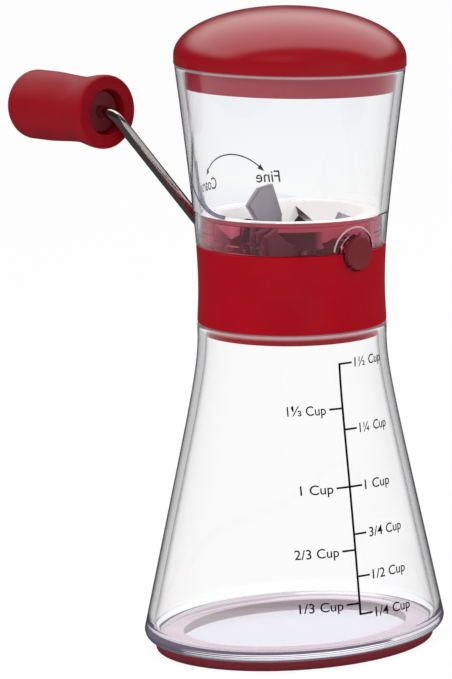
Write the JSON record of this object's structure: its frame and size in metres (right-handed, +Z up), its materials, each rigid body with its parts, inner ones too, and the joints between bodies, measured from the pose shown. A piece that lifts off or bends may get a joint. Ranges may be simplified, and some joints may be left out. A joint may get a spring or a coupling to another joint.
{
  "type": "hand crank food chopper",
  "caption": "Hand crank nut and food chopper: clear measuring flask on a soft foot, red waist with a cranked rotor between fine and coarse combs, clear hopper and red domed lid.",
  "frame": {"origin": "on the table, under the middle of the whole part's outline seen from above, crank included", "axes": "+Z up; +Y along the crank shaft from its front cap towards the crank; +X to the right when facing along +Y"},
  "size_m": [0.0986, 0.1248, 0.2021],
  "materials": {
    "clear_plastic": "clear moulded plastic, polished",
    "red_plastic": "glossy moulded plastic",
    "tinted_plastic": "red tinted see-through plastic, glossy",
    "dark_red_plastic": "satin moulded plastic",
    "foot_rubber": "soft matte rubber",
    "grip_plastic": "satin moulded plastic",
    "white_plastic": "white moulded plastic",
    "grey_nylon": "smooth nylon",
    "blade_steel": "stamped steel, satin",
    "rod_steel": "polished steel rod"
  },
  "bodies": {
    "flask": {"container": "clear_plastic", "foot_ring": "foot_rubber"},
    "waist": {"body_band": "red_plastic"},
    "grinding_unit": {"chamber_liner": "tinted_plastic", "comb_fine": "blade_steel", "comb_coarse": "blade_steel", "front_bush": "grey_nylon", "rear_bush": "grey_nylon", "feed_funnel": "white_plastic"},
    "crank": {"crank_rod": "rod_steel", "rotor_core": "grey_nylon", "rotor_blade_1": "blade_steel", "rotor_blade_2": "blade_steel", "rotor_blade_3": "blade_steel", "rotor_blade_4": "blade_steel", "rotor_blade_5": "blade_steel", "rotor_spacer_1": "grey_nylon", "rotor_spacer_2": "grey_nylon", "rotor_spacer_3": "grey_nylon", "rotor_spacer_4": "grey_nylon", "shaft_cap": "dark_red_plastic", "shaft_collar": "rod_steel", "grip_washer": "rod_steel"},
    "handle": {"grip": "grip_plastic", "grip_sleeve": "dark_red_plastic", "grip_plug": "grip_plastic"},
    "hopper_unit": {"hopper": "clear_plastic"},
    "lid_unit": {"lid": "red_plastic"}
  },
  "joints": [
    {"name": "waist_turn", "type": "hinge", "parent": "flask", "child": "waist", "pos_m": [0, -0.0215, 0.1035], "axis": [0, 0, 1], "continuous": true},
    {"name": "grinding_unit_lift", "type": "slide", "parent": "waist", "child": "grinding_unit", "axis": [0, 0, 1], "range_m": [0, 0.03]},
    {"name": "crank_spin", "type": "hinge", "parent": "grinding_unit", "child": "crank", "pos_m": [0, -0.0215, 0.1278], "axis": [0, 1, 0], "continuous": true},
    {"name": "grip_spin", "type": "hinge", "parent": "crank", "child": "handle", "pos_m": [-0.0357, 0.043, 0.1688], "axis": [0, 1, 0], "continuous": true},
    {"name": "hopper_lift", "type": "slide", "parent": "grinding_unit", "child": "hopper_unit", "axis": [0, 0, 1], "range_m": [0, 0.03]},
    {"name": "lid_lift", "type": "slide", "parent": "hopper_unit", "child": "lid_unit", "axis": [0, 0, 1], "range_m": [0, 0.03]}
  ]
}
